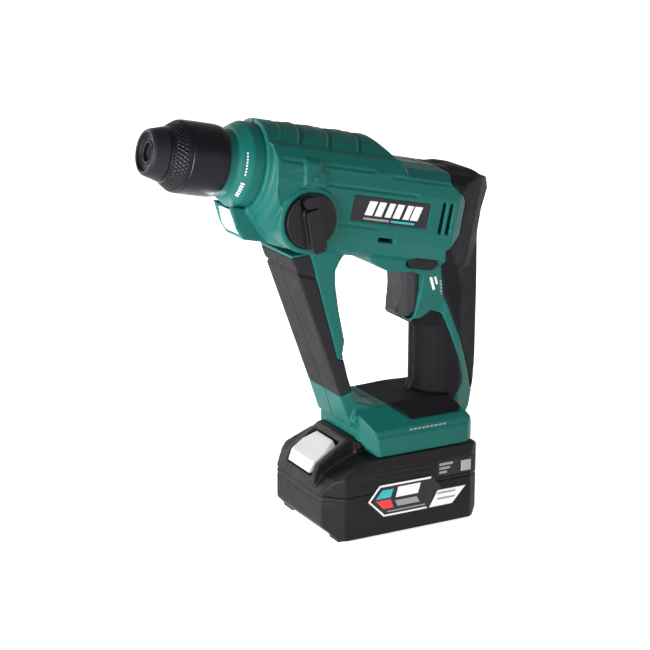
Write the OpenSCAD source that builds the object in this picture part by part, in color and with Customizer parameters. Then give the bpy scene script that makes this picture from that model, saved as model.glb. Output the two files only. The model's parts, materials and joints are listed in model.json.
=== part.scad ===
// Cordless rotary hammer with a closed D-handle and a slide-on battery pack.
// +Z is up, the chuck points to -Y, +X is the side with the mode knob.
// The origin is the middle of the pack's underside, on the surface it stands on.
// "s" is a distance forward along the spindle, "n" is a height square to the spindle.

/* [Stance] */
// Nose-up tilt of the spindle over the base, in degrees
axis_tilt = 12.2; // [11.8:0.1:12.6]
// Height n of the spindle axis
axis_n = 203; // [202.8:0.1:203.2]

/* [Body] */
// Half width across the flat side panels
body_half_w = 32.5; // [32:0.5:33.5]
// Height n of the top over the gears
gear_top_n = 230.3; // [230:0.1:231]
// Height n of the flat top over the motor
motor_top_n = 219.8; // [219.5:0.1:220.5]
// Height n of the underside
body_low_n = 161.5; // [161:0.1:162]
// Front end of the body, measured along the spindle
body_front_s = 133.2; // [133:0.1:133.5]
// Slot between the neck and the lamp chin, for the side handle's band
band_gap = 0.9; // [0.7:0.1:1.2]
// Radius of the body's front face, inside its conical chamfer
front_r = 27.5; // [27.3:0.1:27.8]
// Slope of that chamfer: radius gained for each mm of length
front_slope = 0.87; // [0.85:0.01:0.9]
// Radius of the neck that takes the side handle
collar_r = 24.7; // [24.5:0.1:24.9]
// Wall thickness of the moulded shells
wall = 2.4; // [2:0.1:2.8]
// Thickness of the rubber skins
skin = 1.8; // [1.5:0.1:2]

/* [Handle] */
// Half width of the grip
grip_half_w = 18; // [17.5:0.5:19]
// Front face of the grip
grip_front_y = 25.4; // [25:0.1:26]
// Half width of the front strut
strut_half_w = 20; // [19:0.5:21]
// Half width of the foot along its lower edge
foot_half_w = 36; // [35.5:0.5:37]
// Height of the foot's lower edge at the sides
foot_z = 49; // [48.8:0.1:49.2]

/* [Chuck] */
// Radius of the sliding sleeve
sleeve_r = 20.8; // [20.5:0.1:21]
// Rear edge of the sleeve along the spindle
sleeve_back_s = 152.5; // [152:0.5:153]
// Front end of the dust cap along the spindle
nose_s = 196.7; // [196.5:0.1:198]
// Radius of the dust cap's rim
nose_r = 13; // [12.5:0.1:13.5]
// Radius of the tool socket, for a 10 mm shank
socket_r = 5; // [5:0.1:5]

/* [Drive] */
// Gear module
gear_mod = 1; // [1:0.1:1]
// Teeth on the spindle gear
spindle_teeth = 36; // [36:1:36]
// Teeth on the countershaft pinion
pinion_teeth = 10; // [10:1:10]
// Teeth on the countershaft wheel
wheel_teeth = 25; // [25:1:25]
// Teeth on the motor pinion
motor_teeth = 7; // [7:1:7]
// Outer radius of the stator
stator_r = 20.5; // [20:0.1:20.5]

/* [Controls] */
// Radius of the mode knob
knob_r = 15.8; // [15.5:0.1:16]
// Place of the mode knob along the spindle
knob_s = 103.6; // [103:0.1:104]
// Height n of the mode knob
knob_n = 180.6; // [180.4:0.1:181]
// Lean of the knob's bar from square to the spindle, in degrees
bar_lean = 22; // [20:1:25]
// Half width of the trigger
trigger_half_w = 13.6; // [13:0.1:13.8]
// Place of the reverse lever along the spindle
lever_s = 16.5; // [16:0.1:17]
// Height n of the reverse lever
lever_n = 161.6; // [161.4:0.1:161.8]

/* [Battery] */
// Half width of the pack
pack_half_w = 39; // [39:0.5:40]
// Half length of the pack
pack_half_l = 53; // [53:0.5:54]
// Height of the seam between the pack's cases
pack_seam_z = 28.5; // [28:0.1:29]
// Radius of one cell
cell_r = 9.15; // [9.1:0.05:9.2]
// Length of one cell
cell_l = 65; // [65:0.1:65.2]

/* [Hidden] */
$fn = 64;

green = [0.11, 0.45, 0.42];
black = [0.14, 0.14, 0.15];
dark = [0.2, 0.2, 0.21];
steel = [0.62, 0.63, 0.65];
alloy = [0.75, 0.76, 0.78];
brass = [0.8, 0.65, 0.3];
copper = [0.72, 0.4, 0.2];
pale = [0.86, 0.86, 0.86];

// Drive axes and pitch radii
spindle_gear_r = spindle_teeth * gear_mod / 2;
pinion_r = pinion_teeth * gear_mod / 2;
wheel_r = wheel_teeth * gear_mod / 2;
motor_pinion_r = motor_teeth * gear_mod / 2;
counter_n = axis_n - spindle_gear_r - pinion_r;
motor_n = counter_n + wheel_r + motor_pinion_r;
tube_r = 13;
piston_bore_r = 11;
button_slope = 33.6;
wobble_s = 84;

// ---------- placing ----------

module tilted() rotate([-axis_tilt, 0, 0]) children();
// z runs forward along an axis parallel to the spindle, at height n
module on_axis(n, s = 0) tilted() translate([0, -s, n]) rotate([90, 0, 0]) children();
// 2-D shape in (Y, Z), extruded across X from x0 to x1
module across(x0, x1) rotate([90, 0, 90]) translate([0, 0, x0]) linear_extrude(x1 - x0) children();
// 2-D shape in (X, Z), extruded along Y from y0 to y1
module lengthwise(y0, y1) translate([0, y1, 0]) rotate([90, 0, 0]) linear_extrude(y1 - y0) children();
// 2-D shape in (X, Y), extruded from z0 to z1
module upward(z0, z1) translate([0, 0, z0]) linear_extrude(z1 - z0) children();
module both_sides() {
    children();
    mirror([1, 0, 0]) children();
}
module box(x, y, z) translate([x[0], y[0], z[0]]) cube([x[1] - x[0], y[1] - y[0], z[1] - z[0]]);
module tube(outer, inner, h) difference() {
    cylinder(r = outer, h = h);
    translate([0, 0, -1]) cylinder(r = inner, h = h + 2);
}
// 2-D outline in (s, n), given in the (Y, Z) plane of the tilted frame
function sn(points) = [for (p = points) [-p[0], p[1]]];
function mirrored(points) = concat(points, [for (i = [len(points) - 1:-1:0]) [-points[i][0], points[i][1]]]);
function arc(c, r, a0, a1, steps = 8) =
    [for (i = [0:steps]) let (a = a0 + (a1 - a0) * i / steps) [c[0] + r * cos(a), c[1] + r * sin(a)]];
module rounded_square(size, r) {
    w = size[0] / 2 - r;
    h = size[1] / 2 - r;
    polygon(concat(arc([w, h], r, 0, 90, 6), arc([-w, h], r, 90, 180, 6),
                   arc([-w, -h], r, 180, 270, 6), arc([w, -h], r, 270, 360, 6)));
}
module slot_shape(length, width) polygon(concat(
    arc([(length - width) / 2, 0], width / 2, -90, 90, 12),
    arc([-(length - width) / 2, 0], width / 2, 90, 270, 12)));
function gear_points(teeth) =
    let (r = teeth * gear_mod / 2, tip = r + 0.8 * gear_mod, root = r - 1.1 * gear_mod)
    [for (i = [0:teeth - 1]) for (q = [[root, -0.26], [tip, -0.1], [tip, 0.1], [root, 0.26]])
        let (a = (i + q[1]) * 360 / teeth) [q[0] * cos(a), q[0] * sin(a)]];
module gear(teeth, h, turn = 0) rotate([0, 0, turn]) linear_extrude(h) polygon(gear_points(teeth));

// ---------- outer form of the housing; "inset" moves every wall inward ----------

// Across the body, in (X, n): flat sides and two slanted facets up to the flat top
module body_section(inset) offset(delta = -inset) polygon(mirrored([
    [22.5, body_low_n], [28, body_low_n + 3.5], [body_half_w - 1, body_low_n + 12],
    [body_half_w, body_low_n + 19], [body_half_w, axis_n - 0.7],
    [body_half_w - 2.5, axis_n + 8.5], [24, motor_top_n - 3], [12, motor_top_n - 0.5]]));
// The round crown over the gears, with its slanted shoulders
module crown_section(inset) offset(delta = -inset) union() {
    translate([0, axis_n]) circle(r = gear_top_n - axis_n);
    polygon(mirrored([[body_half_w - 3.5, axis_n + 7], [body_half_w - 2.7, axis_n + 9.2], [24, motor_top_n],
        [20, motor_top_n + 1.5]]));
}
// Side views, in (s, n)
module crown_side(inset) offset(delta = -inset) polygon(sn([
    [body_front_s, 185], [body_front_s, gear_top_n + 1], [61, gear_top_n + 1],
    [43, motor_top_n - 2], [38, 185]]));
module body_side(inset) offset(delta = -inset) polygon(sn([
    [117, body_low_n], [body_front_s - 0.3, body_low_n + 4.8], [body_front_s - 0.3, motor_top_n + 1],
    [-2, motor_top_n + 1], [-12, motor_top_n - 1.2], [-21, 217.2], [-27.5, 210], [-24, 197], [-25, 186],
    [-26.5, 178], [-27, body_low_n]]));
module body_plan(inset) offset(delta = -inset) polygon(mirrored([
    [body_half_w, -body_front_s - 2], [body_half_w, -6], [28, 2], [21, 15], [9, 28]]));
// Cone that chamfers the front end all round
module front_cone() on_axis(axis_n, -60)
    cylinder(r1 = front_r + (body_front_s + 60) * front_slope, r2 = front_r - front_slope,
        h = body_front_s + 61);
module body_form(inset = 0) intersection() {
    tilted() union() {
        intersection() {
            across(-40, 40) body_side(inset);
            lengthwise(-body_front_s - 1, 30) body_section(inset);
        }
        intersection() {
            across(-40, 40) crown_side(inset);
            lengthwise(-body_front_s - 1, 0) crown_section(inset);
        }
    }
    tilted() upward(body_low_n - 5, 240) body_plan(inset);
    front_cone();
}
module knob_boss() tilted() translate([0, -knob_s, knob_n]) rotate([0, 90, 0]) cylinder(r = 19.4, h = 34);
// The chin that carries the lamp; a slot over it lets the side handle's band pass round the neck
module chin_form() difference() {
    tilted() across(-11.5, 11.5)
        polygon(sn([[144.5, 181], [137.5, 168], [131.5, 161.8], [112, 161.8], [112, 182]]));
    on_axis(axis_n, body_front_s) cylinder(r = collar_r + band_gap, h = 20);
}

// Handle, in (Y, Z): trigger guard, grip and back, closed off inside the body and the foot
handle_outline = [
    [-20, 176], [-18.2, 169.5], [-16.2, 165.8], [-11.3, 162.6], [-5.1, 159.1], [3.1, 157.5], [13.5, 155.9],
    [20.8, 152.6], [20.3, 142.4], [18.7, 134], [17.3, 128.5], [14.5, 125], [15.4, 122.9], [22.5, 120.4],
    [grip_front_y - 0.4, 118], [grip_front_y, 112], [grip_front_y, 84], [22.5, 77.5], [12, 74.4],
    [-2, 72.8], [-8, 66], [54, 56], [60, 64], [63.5, 78], [65.4, 97], [66, 130], [65.2, 150], [64.4, 168],
    [64.6, 183], [40, 190], [10, 186]];
module handle_plan(inset) offset(delta = -inset) polygon(mirrored([
    [4, -30], [4, grip_front_y], [7.5, grip_front_y + 1.6], [11.5, grip_front_y + 4.4],
    [15, grip_front_y + 8.6], [grip_half_w - 0.6, grip_front_y + 13], [grip_half_w, grip_front_y + 17],
    [grip_half_w, 48], [10, 64.5], [6, 67.5]]));
module handle_form(inset = 0) intersection() {
    across(-30, 30) offset(delta = -inset) polygon(handle_outline);
    union() {
        upward(40, 200) handle_plan(inset);
        // The handle widens into the body around the lever and under the trigger guard
        intersection() {
            lengthwise(-25, 64) offset(delta = -inset) polygon(mirrored([
                [15.5, 120], [17.5, 140], [21.5, 158], [24, 175], [24, 190]]));
            upward(100, 195) offset(delta = -inset) polygon(mirrored([
                [25, -30], [25, 33], [20, 45], [11, 60], [6, 65]]));
        }
    }
}

// Front strut, in (Y, Z)
strut_outline = [
    [-68.6, 175.5], [-64.9, 165.1], [-36.6, 88], [-29, 66], [-20, 66], [-24.2, 79.5], [-28, 90], [-30.3, 97],
    [-33, 107.5], [-34, 112], [-32.6, 119.4], [-36.6, 138.6], [-39, 155], [-39, 163], [-36, 168.5],
    [-30, 176]];
module strut_form(inset = 0) across(-strut_half_w + inset, strut_half_w - inset)
    offset(delta = -inset) polygon(strut_outline);

// Foot: a skirt over the pack that blends up into the grip and the strut
module foot_front_view(inset) offset(delta = -inset) polygon(mirrored([
    [foot_half_w, foot_z - inset], [foot_half_w - 1, 60.3], [foot_half_w - 1.9, 61],
    [foot_half_w - 2.6, 64.2],
    [foot_half_w - 3.6, 65.2], [27, 70.5], [21, 76], [18.5, 84]]));
module foot_side_view(inset) offset(delta = -inset) polygon([
    [-25, 57], [-25, 64], [-29, 70], [-24, 80.5], [-10, 76], [18, 77], [40, 76], [50, 62],
    [50.5, 57], [50.5, foot_z - inset], [-18, foot_z - inset]]);
module foot_plan(inset) offset(delta = -inset) polygon(mirrored([
    [24, -32], [24, -25], [foot_half_w, -17], [foot_half_w, 44], [30, 50.5]]));
module foot_form(inset = 0) intersection() {
    across(-40, 40) foot_side_view(inset);
    lengthwise(-40, 60) foot_front_view(inset);
    upward(40, 90) foot_plan(inset);
}

module housing_form() {
    body_form();
    intersection() {
        both_sides() knob_boss();
        tilted() across(-34, 34) polygon(sn([[body_front_s, 161.5], [body_front_s, 202], [80, 202],
            [80, 161.5]]));
    }
    chin_form();
    handle_form();
    strut_form();
    foot_form();
}

// ---------- rubber skins: each fills a recess cut to the skin's depth inside an outline ----------

module rear_region() {
    tilted() across(-45, 45) polygon(sn([
        [18, 221.5], [10.5, 217], [12, 211.7], [0, 203.5], [-1, 200], [-2, 178], [8, 171],
        [-60, 150], [-60, 240], [18, 240]]));
    across(-45, 45) polygon([
        [29.6, 168.8], [37, 138.6], [45.6, 117.8], [53.6, 98.4], [58, 86], [61, 74], [90, 74],
        [90, 185], [50, 185]]);
}
module grip_region() across(-45, 45) polygon([
    [10, 118], [16, 125.4], [22, 125.2], [28.5, 129.7], [36.2, 126.6], [42, 112.5], [49.1, 94.7], [52.5, 82],
    [42, 67.5], [8, 67.5], [-6, 78], [-12, 90]]);
module strut_region() across(-45, 45) polygon([
    [-80, 172], [-67.5, 173.5], [-55.8, 174.7], [-37.3, 108.7], [-28, 107.5], [-20, 90],
    [-37.5, 84.5], [-80, 84]]);
module rear_recess() difference() {
    rear_region();
    body_form(skin);
    handle_form(skin);
}
module grip_recess() difference() {
    grip_region();
    handle_form(skin);
    foot_form(skin);
}
module strut_recess() difference() {
    strut_region();
    strut_form(skin);
}

// ---------- openings in the shells ----------

module motor_room() {
    on_axis(motor_n, -7) cylinder(r = stator_r + 0.3, h = 63);
    on_axis(motor_n, -14.5) cylinder(r = 8.05, h = 10);
}
module gear_room() {
    on_axis(axis_n, 53) cylinder(r = 20.5, h = 3);
    on_axis(axis_n, 55.8) cylinder(r = 22.9, h = 94.2);
    on_axis(counter_n, 53) cylinder(r = 15.6, h = 69.2);
    on_axis(motor_n, 38) cylinder(r = 21.2, h = 15.5);
}
// Keeps the grip's rounded front corners closed
module grip_corners() both_sides() upward(60, 120.6) polygon([
    [5, 20], [5, grip_front_y + 3], [6.4, grip_front_y + 3.7], [9.8, grip_front_y + 6.1],
    [13, grip_front_y + 9.9], [14, grip_front_y + 9.9], [14, 20]]);
module handle_room() {
    difference() {
        across(-12, 12) polygon([
            [4, 163.5], [50, 158], [55, 130], [54.5, 100], [50, 74], [44, 70], [28, 70], [28, 118],
            [23, 130], [23, 151], [4, 156]]);
        grip_corners();
    }
    tilted() box([-11, 11], [-34, 20], [160, 176]);
}
module foot_room() {
    box([-28, 28], [-14, 42], [60, 65.5]);
    box([-11.5, 11.5], [-13, 44], [56, 72]);
    box([-15.3, 15.3], [19.7, 40.3], [56, 61]);
    // Channel that the pack's rails slide in, open to the front
    box([-21.4, 21.4], [-40, 45], [40, 56.4]);
    box([-24.9, 24.9], [-40, 45], [51.9, 56.4]);
}
module strut_room() across(-12, 12) polygon([
    [-61, 168], [-45, 124], [-40, 108], [-37, 106], [-40, 140], [-43, 168]]);
module vents() tilted() both_sides() {
    for (s = [15.2, 10.1]) translate([14, -s, 191]) rotate([0, 90, 0])
        linear_extrude(22) slot_shape(19, 2.6);
    translate([14, -49.8, 174]) rotate([0, 90, 0])
        linear_extrude(22) rotate([0, 0, 90]) slot_shape(11, 2.4);
}
module lever_hole(gap) tilted() translate([-45, -lever_s, lever_n]) rotate([0, 90, 0])
    linear_extrude(90) rotate([0, 0, 90]) slot_shape(20.6 + 2 * gap, 6.4 + 2 * gap);
module trigger_hole() across(-trigger_half_w - 0.4, trigger_half_w + 0.4)
    polygon([[-2, 154.3], [30, 154.3], [30, 125], [4, 125]]);
module knob_hole() tilted() translate([10, -knob_s, knob_n]) rotate([0, 90, 0]) {
    cylinder(r = 5.7, h = 30);
    translate([0, 0, 21.6]) cylinder(r = knob_r + 0.35, h = 20);
}
module label_recess() tilted() translate([body_half_w - 0.8, -77.4, 183.4]) cube([3, 52.6, 15.4]);

module lamp_hole() tilted() across(-8.2, 8.2)
    polygon(sn([[150, 185], [150, 160], [133.5, 160], [130, 164], [136, 178], [140, 178]]));

// Screw places: [y, z] in the standing frame
function from_spindle(s, n) =
    [-s * cos(axis_tilt) + n * sin(axis_tilt), s * sin(axis_tilt) + n * cos(axis_tilt)];
screw_places = [
    from_spindle(-17, 206), from_spindle(-17, 172), [58.5, 118], [-35.6, 98.5], [47, 66], [-19, 68.5],
        [-51, 158]];
module at_screws() for (p = screw_places) translate([0, p[0], p[1]]) rotate([0, 90, 0]) children();
screw_r = 1.5;
module screw_holes() at_screws() {
    translate([0, 0, -60]) cylinder(r = 3.4, h = 48);
    translate([0, 0, -13]) cylinder(r = screw_r + 0.05, h = 23);
}

module housing_half(side) color(green) difference() {
    intersection() {
        housing_form();
        if (side > 0) box([0, 60], [-170, 100], [30, 270]);
        else box([-60, 0], [-170, 100], [30, 270]);
    }
    rear_recess();
    grip_recess();
    strut_recess();
    motor_room();
    gear_room();
    handle_room();
    foot_room();
    strut_room();
    vents();
    lever_hole(0.35);
    trigger_hole();
    if (side > 0) knob_hole();
    both_sides() label_recess();
    collar_form(0);
    lamp_hole();
    screw_holes();
}
module housing_left() housing_half(1);
module housing_right() housing_half(-1);
module housing_screws() color(steel) at_screws() {
    difference() {
        translate([0, 0, -14.5]) cylinder(r = 3.1, h = 2.5);
        translate([0, 0, -15]) cylinder(r = 1.4, h = 1.8, $fn = 6);
    }
    translate([0, 0, -12.5]) cylinder(r = screw_r, h = 22);
}

// ---------- fixed parts ----------

// Stepped nose ring; the side handle clamps around its straight neck
module collar_form(inner_r) on_axis(axis_n) rotate_extrude() polygon([
    [inner_r, 126], [22.8, 126], [22.8, 133.4], [collar_r, 133.4], [collar_r, 140.6], [20.8, 147],
    [19, 147.3], [19, 157.4], [18.4, 158], [inner_r, 158]]);
module front_collar() color(green) difference() {
    collar_form(15.2);
    on_axis(axis_n, 153) cylinder(r = 17, h = 6);
}
module led_lens() color([0.95, 0.97, 1]) tilted() across(-8, 8)
    polygon(sn([[141.1, 176.9], [137.2, 168], [133.6, 164.3], [132.6, 165.4], [135.8, 168.8],
        [139.2, 176.9]]));
module led_board() color([0.1, 0.3, 0.15]) tilted() across(-6, 6)
    polygon(sn([[137.7, 176.7], [135.6, 171.4], [134.4, 171.8], [136.5, 176.7]]));
module label_plate() color(black) tilted()
    translate([body_half_w - 0.75, -77.1, 183.7]) cube([0.7, 52, 14.8]);
module label_left() label_plate();
module label_right() mirror([1, 0, 0]) label_plate();
module rear_rubber() color(black) difference() {
    intersection() {
        union() {
            body_form();
            handle_form();
        }
        rear_recess();
    }
    screw_holes();
}
module grip_rubber() color(black) difference() {
    intersection() {
        union() {
            handle_form();
            foot_form();
        }
        grip_recess();
    }
    handle_room();
    foot_room();
    trigger_hole();
    screw_holes();
}
module strut_rubber() color(black) difference() {
    intersection() {
        strut_form();
        strut_recess();
    }
    strut_room();
    screw_holes();
}
module gear_case() color(alloy) difference() {
    union() {
        on_axis(axis_n, 56) cylinder(r = 22.7, h = 70);
        on_axis(counter_n, 56) cylinder(r = 15.4, h = 66);
    }
    on_axis(axis_n, 63) cylinder(r = 19.7, h = 58);
    on_axis(counter_n, 63) cylinder(r = 14, h = 50);
    on_axis(axis_n, 110) cylinder(r = 15, h = 20);
    on_axis(counter_n, 55) cylinder(r = 6.5, h = 6.5);
    on_axis(counter_n, 60) cylinder(r = 4.4, h = 5);
    on_axis(counter_n, 112) cylinder(r = 6.5, h = 5.2);
    on_axis(motor_n, 55) cylinder(r = 8, h = 5.5);
    on_axis(motor_n, 60) cylinder(r = 5, h = 5);
}
module front_bearing() color(steel) on_axis(axis_n, 129) tube(15.2, 11.05, 9);
module oil_seal() color(black) on_axis(axis_n, 139) tube(15.1, 11.3, 4);
module countershaft_bearings() color(steel) {
    on_axis(counter_n, 56.5) tube(6.5, 4.05, 5);
    on_axis(counter_n, 112) tube(6.5, 4.05, 5);
}
module stator() color(copper) on_axis(motor_n, 2) difference() {
    cylinder(r = stator_r, h = 34);
    translate([0, 0, -1]) cylinder(r = 11.4, h = 36);
    for (i = [0:5]) rotate([0, 0, 60 * i + 30]) translate([13.5, -1.5, -1]) cube([3.5, 3, 36]);
}
module motor_bearings() color(steel) {
    on_axis(motor_n, 55.5) tube(8, 2.55, 5);
    on_axis(motor_n, -14) tube(8, 2.55, 5);
}
module hall_board() color([0.1, 0.3, 0.15]) on_axis(motor_n, -0.5) tube(16, 4, 1.6);
module switch_module() color(dark) box([-10.5, 10.5], [33.5, 50], [129, 154]);
module control_board() {
    color(alloy) box([-22, 22], [-10, 26], [60.2, 62.4]);
    color([0.1, 0.3, 0.15]) box([-24, 24], [-12, 38], [62.5, 64.1]);
}
module terminal_block() color(black) {
    box([-15, 15], [20, 40], [57, 60]);
    for (x = [-11, -4, 4, 11]) box([x - 0.4, x + 0.4], [22, 38], [51, 57.2]);
}
module wiring() color([0.5, 0.12, 0.1]) {
    for (x = [-6, -2, 2, 6]) translate([x, 37, 64.3]) cylinder(r = 1.2, h = 64.5);
    for (x = [-5, 0, 5]) translate([x, 42, 154.2]) cylinder(r = 1.2, h = 15);
}
// A spring along z as a stack of closed turns
module coil(r, wire_r, pitch, turns) for (i = [0:turns - 1])
    translate([0, 0, i * pitch]) rotate_extrude() translate([r, 0]) circle(r = wire_r, $fn = 24);
module trigger_spring() color(steel) translate([0, 27.6, 142]) rotate([-90, 0, 0]) coil(3.4, 0.4, 1.3, 4);

// ---------- spindle group ----------

module spindle() color(steel) {
    on_axis(axis_n) difference() {
        rotate_extrude() polygon([
            [piston_bore_r, 93], [tube_r, 93], [tube_r, 118], [11, 121], [11, 181.6], [10, 181.6],
            [10, 183.2], [11, 183.2], [11, 186], [9, 187], [9, 192.6], [socket_r + 0.05, 192.6],
            [socket_r + 0.05, 182], [socket_r + 0.35, 182], [socket_r + 0.35, 150], [socket_r, 150],
            [socket_r, 136],
            [7.5, 136], [7.5, 121], [piston_bore_r, 119.5]]);
        translate([8, 0, 178]) sphere(r = 3.6);
    }
    on_axis(axis_n) for (a = [0, 180]) rotate([0, 0, a]) translate([3.4, -1.3, 151]) cube([2.6, 2.6, 23]);
}
module spindle_gear() color(steel) on_axis(axis_n, 100) difference() {
    gear(spindle_teeth, 8);
    translate([0, 0, -1]) cylinder(r = tube_r, h = 10);
}
module locking_ball() color(steel) on_axis(axis_n, 178) translate([8, 0, 0]) sphere(r = 3.4);
module dust_cap() color(black) on_axis(axis_n) rotate_extrude() polygon([
    [9, 187.2], [15.2, 187.2], [15.3, 188], [14.6, 190], [nose_r + 0.3, nose_s - 1.4], [nose_r - 0.8, nose_s],
    [nose_r - 2, nose_s], [nose_r - 2.6, nose_s - 2.4], [6.6, nose_s - 2.6], [6.2, nose_s - 1.6],
    [5.3, nose_s - 1.6], [5.3, 192.7], [9, 192.7]]);
module retaining_ring() color(steel) on_axis(axis_n, 181.8) tube(13.2, 10.1, 1.2);
module spring_seat() color(steel) on_axis(axis_n, 158.8) tube(16, 11, 1.2);
module sleeve_spring() color(steel) on_axis(axis_n, 160.8) coil(13.2, 0.6, 2.3, 5);
module sleeve() color(black) on_axis(axis_n) rotate_extrude() polygon([
    [19.3, sleeve_back_s], [19.9, sleeve_back_s], [sleeve_r - 0.3, sleeve_back_s + 2],
    [sleeve_r, sleeve_back_s + 4.5],
    [sleeve_r, 175.6], [sleeve_r - 0.5, 176], [sleeve_r - 0.5, 176.6], [sleeve_r - 0.1, 177], [20.3, 178.6],
    [15.8, 185.6], [15.4, 186.9], [13.6, 186.9], [13.6, 181], [11.5, 181], [11.5, 173.4],
    [11.05, 173], [11.05, 171.5],
    [17, 171.5], [17.4, 170], [17.4, 165.5], [19.3, 164.2]]);

// ---------- gear train and hammer mechanism ----------

module countershaft() color(steel) on_axis(counter_n) {
    translate([0, 0, 56.5]) cylinder(r = 4, h = 60.5);
    translate([0, 0, 98.6]) gear(pinion_teeth, 10.8, 90 + 180 / pinion_teeth);
}
module countershaft_wheel() color(steel) on_axis(counter_n, 64.5) difference() {
    gear(wheel_teeth, 6, 90);
    translate([0, 0, -1]) cylinder(r = 4, h = 9);
}
module wobble_hub() color(steel) on_axis(counter_n, wobble_s) difference() {
    intersection() {
        sphere(r = 7.2);
        translate([0, 0, -5.5]) cylinder(r = 8, h = 11);
    }
    translate([0, 0, -9]) cylinder(r = 4, h = 18);
}
module wobble_ring() color(steel) on_axis(counter_n, wobble_s) {
    difference() {
        translate([0, 0, -3]) cylinder(r = 10.2, h = 6);
        sphere(r = 7.5);
    }
    rotate([-90, 0, 0]) translate([0, 0, 9.6]) cylinder(r = 2.4, h = 15);
}
module rotor() color(steel) {
    on_axis(motor_n, -14) cylinder(r = 2.5, h = 85);
    on_axis(motor_n, 3) cylinder(r = 10.9, h = 32);
    on_axis(motor_n, 64) gear(motor_teeth, 7, -90 + 180 / motor_teeth);
}
module fan() color(dark) on_axis(motor_n, 42) difference() {
    union() {
        cylinder(r = 6, h = 8);
        cylinder(r = 19.8, h = 1.6);
        for (i = [0:10]) rotate([0, 0, 360 / 11 * i]) translate([5, -0.6, 0]) cube([14.4, 1.2, 8]);
    }
    translate([0, 0, -1]) cylinder(r = 2.5, h = 10);
}
module piston() color(alloy) on_axis(axis_n) difference() {
    translate([0, 0, 77]) cylinder(r = piston_bore_r - 0.05, h = 35);
    translate([0, 0, 91]) cylinder(r = 8.5, h = 22);
    translate([0, 4, wobble_s]) rotate([90, 0, 0]) linear_extrude(16) square([5.6, 11], center = true);
}
module striker() color(steel) on_axis(axis_n) difference() {
    rotate_extrude() polygon([[0, 97], [8.45, 97], [8.45, 114.4], [6, 116], [0, 116]]);
    translate([0, 0, 101]) tube(9, 7.4, 1.6);
}
module striker_ring() color(black) on_axis(axis_n, 101.1) tube(8.4, 7.45, 1.4);
module impact_bolt() color(steel) on_axis(axis_n) rotate_extrude() polygon([
    [0, 122.4], [6, 122.4], [7.45, 123.6], [7.45, 132.4], [4.95, 133.6], [4.95, 142.5], [4.2, 143.4],
    [0, 143.4]]);

// ---------- controls ----------

// z runs out of the side along +X; x runs up, y runs forward
module on_knob() tilted() translate([0, -knob_s, knob_n]) rotate([0, 90, 0]) rotate([0, 0, 180]) children();
// Outline of the grip bar, from below the lock button to past the disc's edge
module bar_shape(x0, x1, w) translate([(x0 + x1) / 2, 0]) rounded_square([x1 - x0, w], w * 0.35);
module mode_knob() color(dark) on_knob() {
    translate([0, 0, 33.4]) difference() {
        cylinder(r = knob_r, h = 2.8);
        rotate([0, 0, bar_lean]) translate([8.2, -5.1, 1]) cube([20, 10.2, 5]);
    }
    rotate([0, 0, bar_lean]) translate([0, 0, 36.1]) linear_extrude(4.6) bar_shape(-18.2, 7.6, 9.4);
    translate([0, 0, 18]) cylinder(r = 5.4, h = 15.5);
    rotate([0, 0, bar_lean]) translate([3, 0, 15.8]) cylinder(r = 1.6, h = 2.6);
}
module mode_lock_button() color(black) on_knob() rotate([0, 0, bar_lean])
    translate([0, 0, 36.35]) linear_extrude(3.9) bar_shape(8.4, 15.2, 9);
// Trigger: a finger-grooved paddle with a stem that runs back to the switch
module trigger() color(dark) {
    intersection() {
        across(-trigger_half_w, trigger_half_w) polygon([
            [11.2, 153.9], [12.2, 149], [12.9, 143.5], [11.8, 137], [10, 131.6], [9.6, 128.8], [10.6, 126.7],
            [13, 125.3], [19, 125.3], [22, 128], [24, 132], [24, 152.5], [22.6, 153.9]]);
        upward(120, 160) polygon(mirrored([
            [3.5, 8.4], [7.5, 10.6], [11, 14.4], [13.2, 18.6], [trigger_half_w, 26]]));
        lengthwise(5, 30) polygon(mirrored([
            [8, 125], [11.6, 126.6], [trigger_half_w, 130.5], [trigger_half_w, 156]]));
    }
    box([-6, 6], [23.5, 27], [137, 147]);
}
module reverse_lever() color(dark) intersection() {
    lever_hole(0);
    box([-23.5, 23.5], [-20, 60], [140, 180]);
}

// ---------- battery pack ----------

module pack_plan(inset) offset(delta = -inset) polygon(mirrored([
    [29, -pack_half_l], [pack_half_w, -42], [pack_half_w, 45], [35.5, 51], [31, pack_half_l]]));
module pack_lower() color(black) difference() {
    union() {
        intersection() {
            upward(1.2, pack_seam_z) pack_plan(0);
            across(-45, 45) polygon([[-pack_half_l, 9.5], [-44.5, 1.2], [48, 1.2], [pack_half_l, 9],
                [pack_half_l, 40], [-pack_half_l, 40]]);
        }
        both_sides() for (y = [-41, 41]) box([24, 35.4], [y - 4, y + 4], [0, 1.3]);
        box([-14, 14], [-24, 24], [0, 1.3]);
    }
    intersection() {
        upward(3.4, pack_seam_z + 1) pack_plan(wall);
        across(-50, 50) polygon([[-48.3, 50], [-48.3, 7.8], [-43.4, 3], [48.3, 3], [48.3, 50]]);
    }
    pack_screw_holes();
}
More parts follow.
